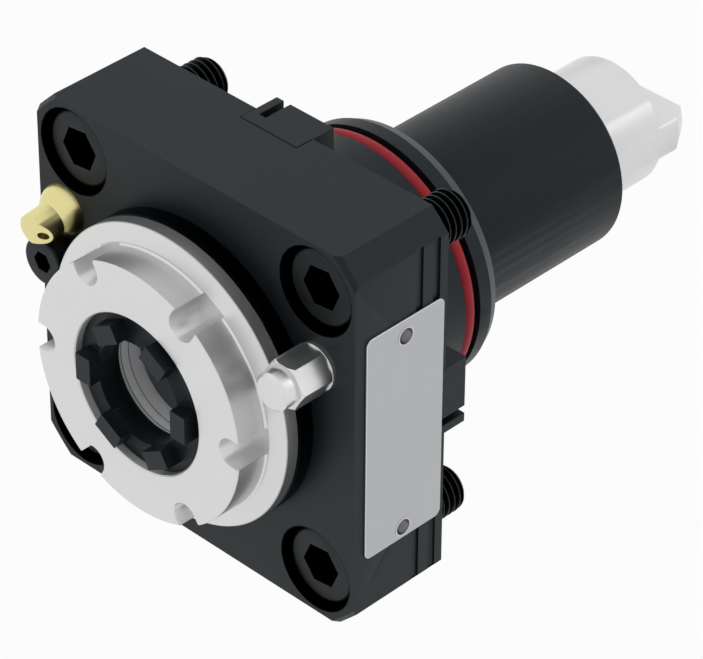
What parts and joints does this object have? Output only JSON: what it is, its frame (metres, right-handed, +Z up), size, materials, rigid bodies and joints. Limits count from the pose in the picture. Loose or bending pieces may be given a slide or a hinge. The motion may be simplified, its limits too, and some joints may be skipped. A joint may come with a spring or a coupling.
{
  "type": "axial driven tool holder",
  "caption": "Square flanged driven tool holder with pilot boss, bearing-mounted spindle, slotted clamping nut, drive ring, coolant nozzle and tang drive.",
  "frame": {"origin": "spindle axis in the plane of the flange's rear face, which seats on the turret", "axes": "+Y along the spindle axis from the flange to the drive tang, +Z up, +X towards the side that carries the plate"},
  "size_m": [0.0845, 0.1433, 0.084],
  "materials": {
    "black_steel": "black oxide, satin, fine ground texture",
    "bright_steel": "turned and ground steel, satin",
    "screw_steel": "black oxide screw steel",
    "bearing_steel": "ground bearing steel",
    "cage_brass": "machined brass cage",
    "nozzle_brass": "pale turned brass",
    "red_rubber": "red seal ring",
    "black_rubber": "black seal rubber",
    "plate_aluminium": "matt anodised, bare"
  },
  "bodies": {
    "holder": {"housing": "black_steel", "front_cover": "black_steel", "shank_sleeve": "black_steel", "key_top": "black_steel", "key_right": "black_steel", "key_bottom": "black_steel", "key_left": "black_steel", "mounting_screws": "screw_steel", "cover_screws": "screw_steel", "key_screws": "screw_steel", "key_set_screws": "screw_steel", "nozzle_clamp_screw": "screw_steel", "flange_seal_ring": "red_rubber", "coolant_port_ring": "black_rubber", "shaft_seal": "black_rubber", "needle_bearing_shell": "bearing_steel", "name_plate": "plate_aluminium", "plate_rivets": "bright_steel", "hexagon_plug": "bright_steel", "front_bearing_1_outer": "bearing_steel", "front_bearing_2_outer": "bearing_steel", "rear_bearing_outer": "bearing_steel"},
    "spindle": {"spindle": "bright_steel", "stop_ring": "black_steel", "drive_ring": "black_steel", "front_bearing_1_inner": "bearing_steel", "front_bearing_2_inner": "bearing_steel", "bearing_spacer": "bright_steel", "rear_bearing_inner": "bearing_steel", "lock_washer": "bright_steel", "lock_nut": "screw_steel"},
    "front_cages": {"front_bearing_1_balls": "bearing_steel", "front_bearing_1_cage": "cage_brass", "front_bearing_2_balls": "bearing_steel", "front_bearing_2_cage": "cage_brass"},
    "rear_cage": {"rear_bearing_balls": "bearing_steel", "rear_bearing_cage": "cage_brass"},
    "needle_cage": {"needle_rollers": "bearing_steel", "needle_cage": "bearing_steel"},
    "slip_ring": {"slip_ring": "bright_steel"},
    "clamping_nut": {"clamping_nut": "bright_steel"},
    "coolant_nozzle": {"coolant_nozzle": "nozzle_brass"}
  },
  "joints": [
    {"name": "spindle_spin", "type": "hinge", "parent": "holder", "child": "spindle", "pos_m": [0, 0, 0], "axis": [0, 1, 0], "continuous": true},
    {"name": "front_cages_roll", "type": "hinge", "parent": "holder", "child": "front_cages", "pos_m": [0, 0, 0], "axis": [0, 1, 0], "continuous": true},
    {"name": "rear_cage_roll", "type": "hinge", "parent": "holder", "child": "rear_cage", "pos_m": [0, 0, 0], "axis": [0, 1, 0], "continuous": true},
    {"name": "needle_cage_roll", "type": "hinge", "parent": "holder", "child": "needle_cage", "pos_m": [0, 0, 0], "axis": [0, 1, 0], "continuous": true},
    {"name": "nut_turn", "type": "hinge", "parent": "slip_ring", "child": "clamping_nut", "pos_m": [0, 0, 0], "axis": [0, -1, 0], "range_deg": [0, 720]},
    {"name": "nut_travel", "type": "slide", "parent": "spindle", "child": "slip_ring", "axis": [0, -1, 0], "range_m": [0, 0.003]},
    {"name": "nozzle_swivel", "type": "hinge", "parent": "holder", "child": "coolant_nozzle", "pos_m": [-0.0354, -0.0229, 0.01735], "axis": [0, -0.9903, -0.1392], "continuous": true}
  ],
  "couplings": [
    {"joint": "front_cages_roll", "follows": "spindle_spin", "ratio": 0.4286},
    {"joint": "rear_cage_roll", "follows": "spindle_spin", "ratio": 0.4514},
    {"joint": "needle_cage_roll", "follows": "spindle_spin", "ratio": 0.4592},
    {"joint": "nut_travel", "follows": "nut_turn", "m_per_rad": 0.00023873}
  ]
}
